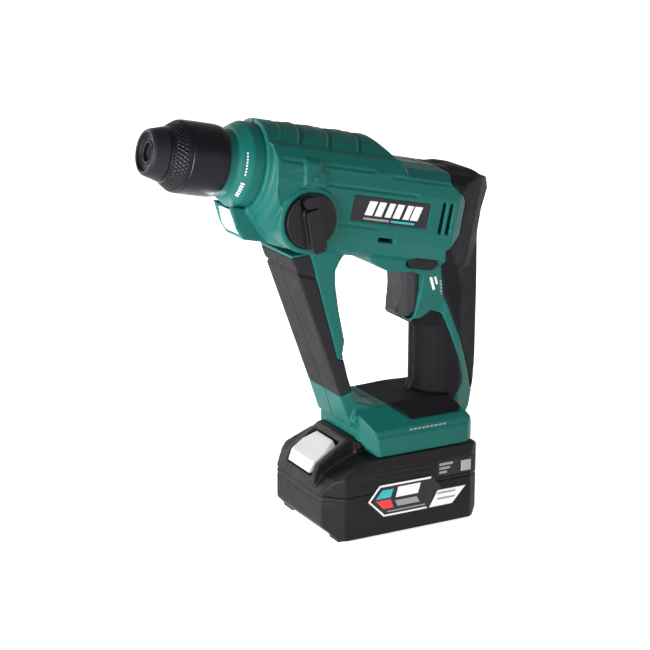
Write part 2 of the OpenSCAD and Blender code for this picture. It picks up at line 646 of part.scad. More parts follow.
// Hood in front of the foot, in (Y, Z)
hood_outline = [[-pack_half_l, 30], [-52.6, 38.3], [-49.9, 44.5], [-30, 57.7], [-26, 58.6],
    [-25.4, 56.8], [-25.4, 30]];
shoulder_outline = [[-pack_half_l, pack_seam_z], [-pack_half_l, 31], [-47, 38.6], [-25, 48.6],
    [-18.8, 48.8], [50, 48.8],
    [pack_half_l - 0.6, 46], [pack_half_l, pack_seam_z]];
module pack_upper_form() {
    intersection() {
        upward(pack_seam_z, 60) pack_plan(0);
        across(-45, 45) polygon(shoulder_outline);
        lengthwise(-60, 60) polygon(mirrored([[pack_half_w, 20], [pack_half_w, 41], [37.2, 48.8], [10, 49]]));
    }
    intersection() {
        across(-19.5, 19.5) polygon(hood_outline);
        upward(20, 70) pack_plan(0);
    }
    // Rails
    box([-21, 21], [-25.5, 44.6], [48, 56]);
    box([-24.5, 24.5], [-25.5, 44.6], [52.3, 56]);
}
module pack_upper() color(black) difference() {
    pack_upper_form();
    intersection() {
        upward(pack_seam_z - 1, 47) pack_plan(wall);
        across(-50, 50) polygon([[-48.3, 20], [-48.3, 31], [-46, 35.6], [-43.8, 38.7], [-27.2, 46.2],
            [48.3, 46.2], [48.3, 20]]);
    }
    box([-17, 17], [-24, 42], [46, 54]);
    for (x = [-11, -4, 4, 11]) box([x - 1.1, x + 1.1], [19, 46], [49.9, 58]);
    // Pocket of the release button, deep enough for its travel, and the hole of its spring
    across(-15, 15) polygon([[-54, 36.6], [-49.1, 36.6], [-34.4, 46.2], [-31.8, 50.6], [-34, 58], [-52, 46]]);
    on_button() cylinder(r = 3, h = 3);
    gauge_recess();
    pack_screw_holes();
}
// z runs out along the release button's travel, from the floor of its spring hole
module on_button() translate([0, -36.3, 43.5]) rotate([button_slope, 0, 0]) children();
module gauge_recess() box([pack_half_w - 1.4, pack_half_w + 2], [21.5, 47.5], [30.6, 41]);
pack_screw_places = [[-34.4, -37], [34.4, -37], [-34.4, 44], [34.4, 44]];
module pack_screw_holes() for (p = pack_screw_places) translate([p[0], p[1], 0]) {
    translate([0, 0, -1]) cylinder(r = 2.6, h = 3.6);
    cylinder(r = 1.25, h = 35);
}
module pack_screws() color(steel) for (p = pack_screw_places) translate([p[0], p[1], 0]) {
    difference() {
        translate([0, 0, 1.3]) cylinder(r = 2.4, h = 1.3);
        translate([0, 0, 0.5]) cylinder(r = 1, h = 1.5, $fn = 6);
    }
    translate([0, 0, 2.5]) cylinder(r = 1.2, h = 30);
}
cell_pitch = 2 * cell_r + 0.3;
module at_cells() for (i = [-2:2]) for (k = [0, 1])
    translate([0, i * cell_pitch + 0.8, 13.4 + k * cell_pitch]) rotate([0, 90, 0]) children();
module cells() color([0.2, 0.35, 0.6]) at_cells() translate([0, 0, -cell_l / 2]) {
    cylinder(r = cell_r, h = cell_l - 0.8);
    cylinder(r = 3, h = cell_l);
}
module cell_holder() color(dark) both_sides() difference() {
    across(24, 27) polygon([[-44.1, 4], [-47.6, 7.7], [-47.6, 31], [-45.4, 35.4], [-43.4, 38.3], [-32.5, 43.2],
        [47.8, 43.2], [47.8, 4]]);
    at_cells() translate([0, 0, -50]) cylinder(r = cell_r, h = 100);
}
module pack_board() color([0.1, 0.3, 0.15]) box([-22, 22], [-23.5, 41], [44.6, 46.1]);
module pack_contacts() color(brass) for (x = [-11, -4, 4, 11]) {
    for (k = [-1, 1]) box([x + k * 0.85 - 0.25, x + k * 0.85 + 0.25], [22, 36], [46.2, 53.5]);
}
module pack_label() color(dark) across(pack_half_w, pack_half_w + 0.5) polygon([
    [-27.7, 23], [-19.7, 33.3], [17.1, 33.3], [24.5, 23.8], [42.4, 23.8], [32.2, 12.2], [-16.4, 12.2]]);
module gauge_panel() color([0.3, 0.3, 0.31]) difference() {
    box([pack_half_w - 1.4, pack_half_w - 0.6], [21.6, 47.4], [30.7, 40.9]);
    box([pack_half_w - 4, pack_half_w + 1], [38, 45.4], [32, 39.4]);
}
module gauge_button() color(pale) box([pack_half_w - 0.7, pack_half_w + 0.2], [38.3, 45.1], [32.3, 39.1]);
module release_button() color(pale) intersection() {
    across(-14.4, 14.4) polygon([
        [-53, 38.3], [-50.2, 38.3], [-36, 47.6], [-34, 51.4], [-34.8, 55.2], [-36.6, 54.4],
        [-50.2, 45.3], [-53, 39.5]]);
    lengthwise(-60, -20) polygon(mirrored([[13, 36], [14.4, 44.5], [14.4, 50.5], [10.4, 54.6], [10, 60]]));
}
module latch_spring() color(steel) on_button() translate([0, 0, 0.4]) coil(2.4, 0.35, 0.95, 3);

housing_left();
housing_right();
front_collar();
led_lens();
led_board();
label_left();
label_right();
rear_rubber();
grip_rubber();
strut_rubber();
gear_case();
front_bearing();
oil_seal();
countershaft_bearings();
housing_screws();
stator();
motor_bearings();
hall_board();
switch_module();
control_board();
terminal_block();
wiring();
trigger_spring();
spindle();
spindle_gear();
locking_ball();
dust_cap();
retaining_ring();
spring_seat();
sleeve_spring();
sleeve();
countershaft();
countershaft_wheel();
wobble_hub();
wobble_ring();
rotor();
fan();
piston();
striker();
striker_ring();
impact_bolt();
mode_knob();
mode_lock_button();
trigger();
reverse_lever();
pack_lower();
pack_upper();
cells();
cell_holder();
pack_board();
pack_contacts();
pack_screws();
pack_label();
gauge_panel();
gauge_button();
latch_spring();
release_button();
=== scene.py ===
import bmesh
import bpy
import json
import math
import numpy as np
from mathutils import Matrix, Vector

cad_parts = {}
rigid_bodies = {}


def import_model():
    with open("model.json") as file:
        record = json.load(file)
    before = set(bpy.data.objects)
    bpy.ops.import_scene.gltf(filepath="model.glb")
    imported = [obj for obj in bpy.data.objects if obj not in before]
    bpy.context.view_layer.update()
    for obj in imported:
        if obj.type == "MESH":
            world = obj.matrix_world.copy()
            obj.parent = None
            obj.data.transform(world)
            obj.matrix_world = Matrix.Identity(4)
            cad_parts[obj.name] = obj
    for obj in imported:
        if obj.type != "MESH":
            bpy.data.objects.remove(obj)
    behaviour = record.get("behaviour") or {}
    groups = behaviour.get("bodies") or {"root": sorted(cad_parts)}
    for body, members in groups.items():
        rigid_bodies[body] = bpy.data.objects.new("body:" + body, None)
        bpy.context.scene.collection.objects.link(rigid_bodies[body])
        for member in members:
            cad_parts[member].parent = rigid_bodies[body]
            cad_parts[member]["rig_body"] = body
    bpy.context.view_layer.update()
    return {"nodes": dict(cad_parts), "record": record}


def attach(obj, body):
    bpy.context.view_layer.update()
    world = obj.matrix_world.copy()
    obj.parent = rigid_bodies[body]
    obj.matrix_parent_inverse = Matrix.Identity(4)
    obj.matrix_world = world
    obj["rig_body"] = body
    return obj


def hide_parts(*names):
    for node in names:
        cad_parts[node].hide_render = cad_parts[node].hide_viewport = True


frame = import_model()
MM = 0.001
VOXEL = 0.65

# ---------- the tilted frame: s forward along the spindle, n square to it, both in mm ----------

TILT = math.radians(12.2)
COS_T, SIN_T = math.cos(TILT), math.sin(TILT)
SPINDLE_N = 203.0


def yz(s, n):
    return -s * COS_T + n * SIN_T, s * SIN_T + n * COS_T


def sn(y, z):
    return -y * COS_T + z * SIN_T, y * SIN_T + z * COS_T


def on_spindle(r, s, angle):
    """A point in metres at radius r and angle from +X round the spindle."""
    y, z = yz(s, SPINDLE_N + r * math.sin(angle))
    return r * math.cos(angle) * MM, y * MM, z * MM


# ---------- materials ----------


def linear(rgb):
    """Linear light from an sRGB colour of 0 to 255."""
    return tuple(((c / 255 + 0.055) / 1.055) ** 2.4 if c > 10 else c / 3294.6 for c in rgb)


def shade(rgb, factor):
    return tuple(min(1.0, max(0.0, c * factor)) for c in linear(rgb)) + (1.0,)


class Nodes:
    """A short way to write one material's node tree."""

    def __init__(self, name):
        self.material = bpy.data.materials.new(name)
        self.material.use_nodes = True
        self.tree = self.material.node_tree
        self.bsdf = self.tree.nodes["Principled BSDF"]
        self.place = self.add("TexCoord").outputs["Object"]

    def add(self, kind, **values):
        node = self.tree.nodes.new("ShaderNode" + kind)
        for key, value in values.items():
            if hasattr(node, key):
                setattr(node, key, value)
            else:
                node.inputs[key.replace("_", " ")].default_value = value
        return node

    def link(self, source, target):
        self.tree.links.new(source, target)

    def stretched(self, scale, tilt):
        mapping = self.add("Mapping")
        mapping.inputs["Scale"].default_value = scale
        mapping.inputs["Rotation"].default_value = (tilt, 0, 0)
        self.link(self.place, mapping.inputs["Vector"])
        return mapping.outputs["Vector"]

    def noise(self, scale, detail=2.0, where=None):
        node = self.add("TexNoise", Scale=scale, Detail=detail)
        self.link(where or self.place, node.inputs["Vector"])
        return node.outputs["Fac"]

    def ramp(self, source, stops):
        node = self.add("ValToRGB")
        elements = node.color_ramp.elements
        while len(elements) < len(stops):
            elements.new(0.5)
        for element, (at, colour) in zip(elements, stops):
            element.position = at
            element.color = colour
        self.link(source, node.inputs["Fac"])
        return node.outputs["Color"]

    def spread(self, source, low, high, from_low=0.3, from_high=0.7):
        node = self.add("MapRange")
        ends = {"From Min": from_low, "From Max": from_high, "To Min": low, "To Max": high}
        for key, value in ends.items():
            node.inputs[key].default_value = value
        self.link(source, node.inputs["Value"])
        return node.outputs["Result"]

    def mix(self, factor, a, b):
        node = self.add("Mix", data_type="RGBA")
        self.link(factor, node.inputs[0])
        for value, socket in ((a, node.inputs[6]), (b, node.inputs[7])):
            if isinstance(value, tuple):
                socket.default_value = value
            else:
                self.link(value, socket)
        return node.outputs[2]

    def bump(self, height, distance):
        node = self.add("Bump", Distance=distance, Strength=1.0)
        self.link(height, node.inputs["Height"])
        return node.outputs["Normal"]


def moulded(name, rgb, rough=0.5, tone=0.05, grain=1500, depth=0.00006, wear=0.35, specular=0.2):
    """Moulded plastic or rubber: spark-eroded grain, slow tone drift, rubbed edges, uneven gloss."""
    k = Nodes(name)
    drift = k.noise(38, 4.0)
    base = k.ramp(drift, [(0.3, shade(rgb, 1 - tone)), (0.5, shade(rgb, 1)), (0.72, shade(rgb, 1 + tone))])
    edge = k.ramp(k.add("NewGeometry").outputs["Pointiness"], [(0.505, (0, 0, 0, 1)), (0.575, (1, 1, 1, 1))])
    broken = k.spread(k.noise(420, 5.0), 0.0, wear, 0.42, 0.6)
    worn = k.add("Math", operation="MULTIPLY")
    k.link(edge, worn.inputs[0])
    k.link(broken, worn.inputs[1])
    light = tuple(min(1.0, c * 1.5 + 0.035) for c in linear(rgb)) + (1.0,)
    k.link(k.mix(worn.outputs[0], base, light), k.bsdf.inputs["Base Color"])
    k.link(k.spread(k.noise(85, 5.0), rough - 0.07, rough + 0.07), k.bsdf.inputs["Roughness"])
    k.link(k.bump(k.noise(grain, 3.0), depth), k.bsdf.inputs["Normal"])
    k.bsdf.inputs["Specular IOR Level"].default_value = specular
    return k.material


def metal(name, rgb, rough=0.3, grain=(120, 1800, 120), depth=0.00002, tone=0.08, anisotropic=0.0):
    """Turned or cast metal: fine tool marks, faint stains, edges rubbed brighter."""
    k = Nodes(name)
    base = k.ramp(k.noise(70, 5.0), [(0.3, shade(rgb, 1 - tone)), (0.7, shade(rgb, 1 + tone))])
    edge = k.ramp(k.add("NewGeometry").outputs["Pointiness"], [(0.51, (0, 0, 0, 1)), (0.6, (1, 1, 1, 1))])
    k.link(k.mix(edge, base, shade(rgb, 1.35)), k.bsdf.inputs["Base Color"])
    k.bsdf.inputs["Metallic"].default_value = 1.0
    k.bsdf.inputs["Anisotropic"].default_value = anisotropic
    marks = k.noise(1.0, 4.0, k.stretched(grain, -TILT))
    k.link(k.spread(marks, rough - 0.08, rough + 0.1), k.bsdf.inputs["Roughness"])
    k.link(k.bump(marks, depth), k.bsdf.inputs["Normal"])
    return k.material


def printed(name, rgb, rough=0.45):
    """Ink or a print on a label: slightly uneven, with pinholes."""
    k = Nodes(name)
    base = k.ramp(k.noise(900, 4.0), [
        (0.25, shade(rgb, 0.86)), (0.45, shade(rgb, 1)), (0.8, shade(rgb, 1.05))])
    k.link(base, k.bsdf.inputs["Base Color"])
    k.link(k.spread(k.noise(240, 3.0), rough - 0.08, rough + 0.08), k.bsdf.inputs["Roughness"])
    k.link(k.bump(k.noise(2200, 2.0), 0.00001), k.bsdf.inputs["Normal"])
    return k.material


SLOTS = {
    "body_green": moulded(
        "green_plastic", (4, 80, 74), rough=0.46, tone=0.035, grain=2300, depth=0.000035, wear=0.25),
    "soft_black": moulded("soft_rubber", (14, 13, 17), rough=0.66, grain=1500, depth=0.00007, specular=0.12),
    "strut_black": moulded(
        "strut_rubber", (27, 27, 29), rough=0.66, grain=1700, depth=0.00006, specular=0.14),
    "nose_rubber": moulded("nose_rubber", (14, 16, 21), rough=0.5, grain=1800, depth=0.00004, specular=0.2),
    "sleeve_black": moulded(
        "sleeve_plastic", (6, 8, 13), rough=0.32, grain=2600, depth=0.00003, specular=0.2),
    "black_plastic": moulded("inner_plastic", (30, 30, 32), rough=0.5),
    "knob_black": moulded("knob_plastic", (16, 14, 17), rough=0.4, grain=2200, depth=0.00004),
    "trigger_grey": moulded("trigger_plastic", (38, 38, 41), rough=0.5, grain=2000, depth=0.00005),
    "pack_black": moulded("pack_plastic", (15, 15, 16), rough=0.5, grain=1700, depth=0.00008, specular=0.16),
    "panel_grey": moulded("gauge_panel", (24, 24, 26), rough=0.42, grain=2400, depth=0.00003),
    "button_grey": moulded("gauge_button", (140, 140, 138), rough=0.55, wear=0.0, tone=0.03),
    "button_white": moulded("release_plastic", (165, 165, 163), rough=0.48, wear=0.0, tone=0.03, grain=2000),
    "label": moulded("label_film", (29, 30, 34), rough=0.36, grain=3200, depth=0.00001, wear=0.1),
    "wire": moulded("wire_cover", (132, 28, 24), rough=0.45, wear=0.0),
    "cell_wrap": moulded("cell_wrap", (40, 92, 150), rough=0.32, grain=900, depth=0.00002, wear=0.0),
    "board": moulded("circuit_board", (20, 88, 48), rough=0.35, grain=500, depth=0.00005),
    "bright_steel": metal("bright_steel", (196, 198, 202), rough=0.26, anisotropic=0.3),
    "dark_steel": metal("dark_steel", (122, 123, 128), rough=0.34, anisotropic=0.3),
    "cast_alloy": metal("cast_alloy", (160, 163, 166), rough=0.48, grain=(600, 600, 600), depth=0.00006),
    "laminations": metal("laminations", (146, 132, 118), rough=0.42, grain=(16, 3200, 16), depth=0.00006),
    "contact": metal("contact_brass", (204, 168, 92), rough=0.28),
}


def glowing_lens():
    """Clear cover of the lamp: ribbed, and bright with the lamp behind it."""
    k = Nodes("lamp_lens")
    wave = k.add("TexWave", Scale=160.0, Distortion=0.4)
    k.link(k.place, wave.inputs["Vector"])
    glow = k.ramp(wave.outputs["Fac"], [(0.0, (0.32, 0.48, 0.72, 1)), (0.7, (0.95, 0.98, 1.0, 1))])
    k.link(glow, k.bsdf.inputs["Emission Color"])
    k.bsdf.inputs["Emission Strength"].default_value = 1.25
    tint = k.ramp(wave.outputs["Fac"], [(0, (0.82, 0.9, 1, 1)), (1, (0.95, 0.97, 1, 1))])
    k.link(tint, k.bsdf.inputs["Base Color"])
    k.link(k.spread(k.noise(300), 0.1, 0.25), k.bsdf.inputs["Roughness"])
    k.link(k.bump(wave.outputs["Fac"], 0.0002), k.bsdf.inputs["Normal"])
    return k.material


SLOTS["lens"] = glowing_lens()
WHITE_INK = printed("white_ink", (205, 205, 203))
GREY_INK = printed("grey_ink", (124, 124, 126))
TEAL_INK = printed("teal_ink", (20, 150, 150))
RED_INK = printed("red_ink", (190, 34, 38))

record_slot = {row["node"]: row["material_slot"] for row in frame["record"]["subparts"]}

# ---------- mesh tools ----------


def new_object(name, mesh, slot=None, material=None):
    piece = bpy.data.objects.new(name, mesh)
    bpy.context.scene.collection.objects.link(piece)
    mesh.materials.clear()
    mesh.materials.append(material or SLOTS[slot])
    return piece


def body_of_node(node):
    return frame["nodes"][node]["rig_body"]


def ramp(x, a, b):
    """A smooth step from 0 at a to 1 at b."""
    t = np.clip((x - a) / (b - a), 0, 1)
    return t * t * (3 - 2 * t)


def dent(d, width):
    """1 on the line d = 0, fading to nothing at about the width."""
    return np.exp(-((d / (0.5 * width)) ** 2))


def span(x, low, high, fade):
    """1 between low and high, with a smooth edge of fade at each end."""
    return ramp(x, low - fade / 2, low + fade / 2) * (1 - ramp(x, high - fade / 2, high + fade / 2))


def line_distance(x, y, points):
    """Distance to an open line of points."""
    best = np.full(len(x), np.inf)
    for (ax, ay), (bx, by) in zip(points[:-1], points[1:]):
        dx, dy = bx - ax, by - ay
        t = np.clip(((x - ax) * dx + (y - ay) * dy) / (dx * dx + dy * dy), 0, 1)
        best = np.minimum(best, np.hypot(x - ax - t * dx, y - ay - t * dy))
    return best


def edge_distance(x, y, outline):
    """Signed distance to a closed outline, negative inside."""
    closed = outline + outline[:1]
    inside = np.zeros(len(x), bool)
    for (ax, ay), (bx, by) in zip(closed[:-1], closed[1:]):
        crosses = (ay > y) != (by > y)
        rise = by - ay if by != ay else 1e-9
        inside ^= crosses & (x < ax + (y - ay) * (bx - ax) / rise)
    distance = line_distance(x, y, closed)
    return np.where(inside, -distance, distance)


def baked(piece, *modifiers):
    """Applies (kind, settings) modifiers in order and leaves one plain mesh."""
    for kind, settings in modifiers:
        m = piece.modifiers.new(kind.lower(), kind)
        for key, value in settings.items():
            setattr(m, key, value)
    bpy.context.view_layer.update()
    graph = bpy.context.evaluated_depsgraph_get()
    mesh = bpy.data.meshes.new_from_object(piece.evaluated_get(graph))
    piece.modifiers.clear()
    old = piece.data
    piece.data = mesh
    bpy.data.meshes.remove(old)
    return piece


def shaped(mesh, height):
    """Moves each vertex along its normal by height(place, normal) in mm, one row for each vertex."""
    count = len(mesh.vertices)
    place = np.zeros(count * 3, np.float32)
    mesh.vertices.foreach_get("co", place)
    place = place.reshape(-1, 3).astype(float)
    normal = np.zeros(count * 3, np.float32)
    mesh.vertex_normals.foreach_get("vector", normal)
    normal = normal.reshape(-1, 3).astype(float)
    moved = place + normal * (height(place / MM, normal) * MM)[:, None]
    mesh.vertices.foreach_set("co", moved.astype(np.float32).ravel())
    mesh.update()


def moulding(node, voxel=VOXEL, rounds=5, height=None, keep=0.4):
    """The CAD node as a moulded piece: its edges are rounded, then height() presses in the fine shape."""
    source = frame["nodes"][node].data.copy()
    piece = new_object(node + "_shell", source, record_slot[node])
    baked(
        piece,
        ("WELD", {"merge_threshold": 1e-6}),
        ("REMESH", {"mode": "VOXEL", "voxel_size": voxel * MM, "use_smooth_shade": True}),
        ("SMOOTH", {"factor": 0.5, "iterations": rounds}),
    )
    if height:
        shaped(piece.data, height)
    baked(piece, ("DECIMATE", {"decimate_type": "COLLAPSE", "ratio": keep}))
    piece.data.polygons.foreach_set("use_smooth", [True] * len(piece.data.polygons))
    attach(piece, body_of_node(node))
    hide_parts(node)
    return piece


def lathe(name, profile, body, slot, count=192, relief=None):
    """A ring turned round the spindle from (r, s) points in mm; relief(angles, s, r) adds to the radius."""
    mesh = bpy.data.meshes.new(name)
    angles = np.arange(count) * 2 * math.pi / count
    rows = []
    for r, s in profile:
        radius = np.full(count, float(r))
        if relief is not None:
            radius = radius + relief(angles, s, r)
        y, z = yz(s, SPINDLE_N + radius * np.sin(angles))
        rows.append(np.stack([radius * np.cos(angles), y, z], 1))
    verts = np.concatenate(rows) * MM
    faces = []
    for i in range(len(profile)):
        a, b = i * count, ((i + 1) % len(profile)) * count
        for j in range(count):
            k = (j + 1) % count
            faces.append((a + j, a + k, b + k, b + j))
    mesh.from_pydata([tuple(v) for v in verts], [], faces)
    work = bmesh.new()
    work.from_mesh(mesh)
    bmesh.ops.recalc_face_normals(work, faces=work.faces)
    work.to_mesh(mesh)
    work.free()
    piece = new_object(name, mesh, slot)
    mesh.polygons.foreach_set("use_smooth", [True] * len(mesh.polygons))
    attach(piece, body)
    return piece


SHARP = 0.02


def rounded(points, radii, steps=4):
    """A closed profile with each corner rounded to its own radius."""
    pts = [np.array(p, float) for p in points]
    out = []
    for i, p in enumerate(pts):
        a, b = pts[i - 1] - p, pts[(i + 1) % len(pts)] - p
        la, lb = np.linalg.norm(a), np.linalg.norm(b)
        cut = min(radii[i], 0.45 * la, 0.45 * lb)
        if cut < SHARP:
            out.append(tuple(p))
            continue
        p0, p1 = p + a / la * cut, p + b / lb * cut
        for t in np.linspace(0, 1, steps + 1):
            out.append(tuple((1 - t) ** 2 * p0 + 2 * t * (1 - t) * p + t * t * p1))
    return out


def resampled(points, step):
    """The closed profile with no edge longer than step."""
    out = []
    for p, q in zip(points, points[1:] + points[:1]):
        p, q = np.array(p), np.array(q)
        count = max(1, int(math.ceil(np.linalg.norm(q - p) / step)))
        out += [tuple(p + (q - p) * i / count) for i in range(count)]
    return out


def side_print(name, outline, x0, x1, body, material, slot=None):
    """A thin plate over a (Y, Z) outline, from x0 to x1 in mm, which may be functions of z."""
    mesh = bpy.data.meshes.new(name)
    work = bmesh.new()
    loops = [[work.verts.new(((x(z) if callable(x) else x) * MM, y * MM, z * MM)) for y, z in outline]
             for x in (x0, x1)]
    count = len(outline)
    for i in range(count):
        j = (i + 1) % count
        work.faces.new((loops[0][i], loops[0][j], loops[1][j], loops[1][i]))
    work.faces.new(loops[0])
    work.faces.new(list(reversed(loops[1])))
    bmesh.ops.recalc_face_normals(work, faces=work.faces)
    work.to_mesh(mesh)
    work.free()
    piece = new_object(name, mesh, slot, material)
    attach(piece, body)
    return piece


# ---------- fine shape of the shells ----------

# Grooves across the crown, as (s, depth, width)
CROWN_GROOVES = [(119.5, 0.7, 3.6), (106.9, 1.4, 3.0), (87.3, 1.4, 3.0), (67.3, 1.4, 3.0)]
# Grooves along the flanks, as (s from, s to, n, depth, width)
FLANK_GROOVES = [
    (110.5, 126, 212.6, 0.8, 1.9), (64, 98.5, 212.6, 0.8, 1.9), (35, 96, 202, 0.9, 1.7),
    (12.7, 52.6, 211, 0.8, 1.7), (57.5, 84.5, 180.5, 0.8, 1.7)]
KNOB_S, KNOB_N = 103.6, 180.6
# The raised tab's outline and the slot's centre line, as (s, n)
TAB = [(112.6, 217.5), (111.3, 199.4), (97.7, 200.2), (98.3, 207.4), (101.8, 210.4), (99.5, 218)]
SLOT_LINE = [(45.4, 174), (53.8, 174)]


def housing_height(p, normal):
    x, y, z = np.abs(p[:, 0]), p[:, 1], p[:, 2]
    s, n = sn(y, z)
    out = normal[:, 0] * np.sign(p[:, 0])
    up = normal[:, 1] * SIN_T + normal[:, 2] * COS_T
    radius = np.hypot(x, n - SPINDLE_N)
    radial = (out * x + up * (n - SPINDLE_N)) / np.maximum(radius, 1)
    # grooves over the crown
    crown = ramp(radial, 0.72, 0.9) * ramp(radius, 24.5, 26) * ramp(n, 219.5, 223) * span(s, 61, 123, 5)
    h = np.zeros(len(x))
    for at, depth, width in CROWN_GROOVES:
        d = s - at - 0.012 * x * x
        swell = 0.4 * dent(d + 10, 7) + 0.25 * dent(d - 2.2, 2.4)
        h -= crown * (depth * dent(d, width) - swell)
    # stepped ring on the cone behind the collar
    ahead = -normal[:, 1] * COS_T + normal[:, 2] * SIN_T
    cone = ramp(ahead, 0.35, 0.6) * span(s, 119, 140, 3) * np.maximum(ramp(x, 12.2, 14), ramp(n, 196, 199))
    h += cone * (1.2 * dent(radius - 33.6, 4.4) - 1.1 * dent(radius - 29.4, 3.6))
    # grooves and creases along the flanks
    flank = ramp(out, 0.45, 0.8) * ramp(x, 23.5, 26)
    for low, high, at, depth, width in FLANK_GROOVES:
        h -= flank * depth * dent(n - at, width) * span(s, low, high, 3)
    h -= flank * 0.25 * ramp(n, 201.2, 202.4) * (1 - ramp(n, 209, 212)) * span(s, 35, 96, 4)
    h += flank * 1.5 * ramp(-edge_distance(s, n, TAB), -0.4, 0.6) * (1 - ramp(n, 212, 216))
    h -= flank * 1.8 * (1 - ramp(line_distance(s, n, SLOT_LINE), 0.6, 1.7))
    # groove round the mode knob
    knob = np.hypot(s - KNOB_S, n - KNOB_N)
    h -= flank * (x > 30) * (p[:, 0] > 0) * 0.6 * dent(knob - 19.6, 1.6)
    # parting line
    skin = ramp(np.maximum(radial, np.abs(normal[:, 1])), 0.3, 0.6)
    h -= skin * 0.35 * (1 - ramp(x, 0.1, 0.75))
    return h


def rear_height(p, normal):
    x, y, z = np.abs(p[:, 0]), p[:, 1], p[:, 2]
    s, n = sn(y, z)
    up = normal[:, 1] * SIN_T + normal[:, 2] * COS_T
    h = 1.3 * ramp(up, 0.35, 0.8) * span(s, -15, 4, 9) * (1 - ramp(x, 12, 22)) * ramp(n, 214, 218)
    h -= 0.7 * ramp(up, 0.2, 0.6) * dent(s + 15.5, 2.2) * ramp(n, 211, 214)
    h -= 0.35 * (1 - ramp(x, 0.1, 0.8)) * ramp(normal[:, 1] + normal[:, 2], 0.2, 0.6)
    return h


GRIP_CREASE = [(39.9, 162.5), (47.6, 136.8), (61, 103)]
TOOTH_PITCH = 3.05


def grip_height(p, normal):
    x, y, z = np.abs(p[:, 0]), p[:, 1], p[:, 2]
    out = normal[:, 0] * np.sign(p[:, 0])
    back = ramp(normal[:, 1], 0.35, 0.75) * ramp(y, 52, 57)
    tooth = 0.5 + 0.5 * np.cos((z - 86.5) * 2 * math.pi / TOOTH_PITCH)
    h = -0.75 * back * (1 - tooth ** 0.7) * span(z, 86, 157, 3) * (1 - ramp(x, 11, 15))
    h -= 0.5 * ramp(out, 0.5, 0.8) * dent(line_distance(y, z, GRIP_CREASE), 1.5)
    h -= 0.3 * (1 - ramp(x, 0.1, 0.7)) * ramp(np.abs(normal[:, 1]), 0.3, 0.6)
    return h


def strut_height(p, normal):
    x, y, z = np.abs(p[:, 0]), p[:, 1], p[:, 2]
    out = normal[:, 0] * np.sign(p[:, 0])
    front = ramp(-normal[:, 1], 0.3, 0.7)
    h = -1.3 * np.maximum(ramp(out, 0.4, 0.8), front) * dent(z - 163.0 + 0.35 * (y + 60), 1.9)
    return h - 0.3 * (1 - ramp(x, 0.1, 0.7)) * ramp(np.abs(normal[:, 1]), 0.3, 0.6)


def pack_height(p, normal):
    x, y, z = np.abs(p[:, 0]), p[:, 1], p[:, 2]
    upright = ramp(np.hypot(normal[:, 0], normal[:, 1]), 0.5, 0.85)
    wall = upright * ramp(np.maximum(x - 33, np.abs(y) - 47), 0, 2)
    flank = ramp(normal[:, 0] * np.sign(p[:, 0]), 0.5, 0.85) * ramp(x, 34, 37)
    h = -0.45 * wall * dent(z - 28.5, 1.0)
    h -= 0.5 * flank * (dent(z - 38.6, 1.3) + 0.8 * dent(z - 41.4, 1.1)) * span(y, -22, 16, 4)
    h -= 0.5 * flank * dent(line_distance(y, z, [(-31, 34.5), (-22, 38.6)]), 1.4)
    h -= 0.45 * ramp(-normal[:, 1], 0.5, 0.85) * dent(z - 24.5 - 0.02 * x, 1.1) * ramp(-y, 44, 47)
    return h


moulding("housing_left", height=housing_height, keep=0.45)
moulding("housing_right", height=housing_height, keep=0.45)
moulding("rear_rubber", height=rear_height)
moulding("grip_rubber", height=grip_height, keep=0.6)
moulding("strut_rubber", height=strut_height)
moulding("pack_lower", height=pack_height, keep=0.4)
moulding("pack_upper", height=pack_height, keep=0.5)

# ---------- nose: collar, sleeve, dust cap ----------

COLLAR_R, CONE_START_S = 24.7, 140.6
CONE_END_R, CONE_END_S = 20.8, 147
COLLAR_POINTS = [
    (15.2, 126), (22.8, 126), (22.8, 133.4), (COLLAR_R, 133.4), (COLLAR_R, CONE_START_S),
    (CONE_END_R, CONE_END_S), (19, 147.3), (19, 157.4), (18.4, 158), (17, 158), (17, 153), (15.2, 153)]
COLLAR_RADII = [0, 0, 0.1, 0.15, 0.8, 0.7, 0.7, 0.3, 0.2, 0.2, 0, 0]
collar = lathe("front_collar_ring", rounded(COLLAR_POINTS, COLLAR_RADII), "housing", "body_green")
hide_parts("front_collar")

KNURL_START_S, KNURL_END_S = 178.2, 185.6
KNURL_LEAST_R = 15.9
KNURL_RIBS, KNURL_TWIST = 24, 0.9


def knurl(angles, s, r):
    """Two crossing families of slanted ribs on the sleeve's cone."""
    if r < KNURL_LEAST_R or s < KNURL_START_S or s > KNURL_END_S:
        return 0 * angles
    fade = ramp(s, KNURL_START_S, KNURL_START_S + 1) * (1 - ramp(s, KNURL_END_S - 1, KNURL_END_S))
    turn, twist = KNURL_RIBS * angles, KNURL_TWIST * s
    ribs = np.abs(np.sin(turn + twist)) * np.abs(np.sin(turn - twist))
    return fade * 0.7 * (ribs ** 0.5 - 0.6)


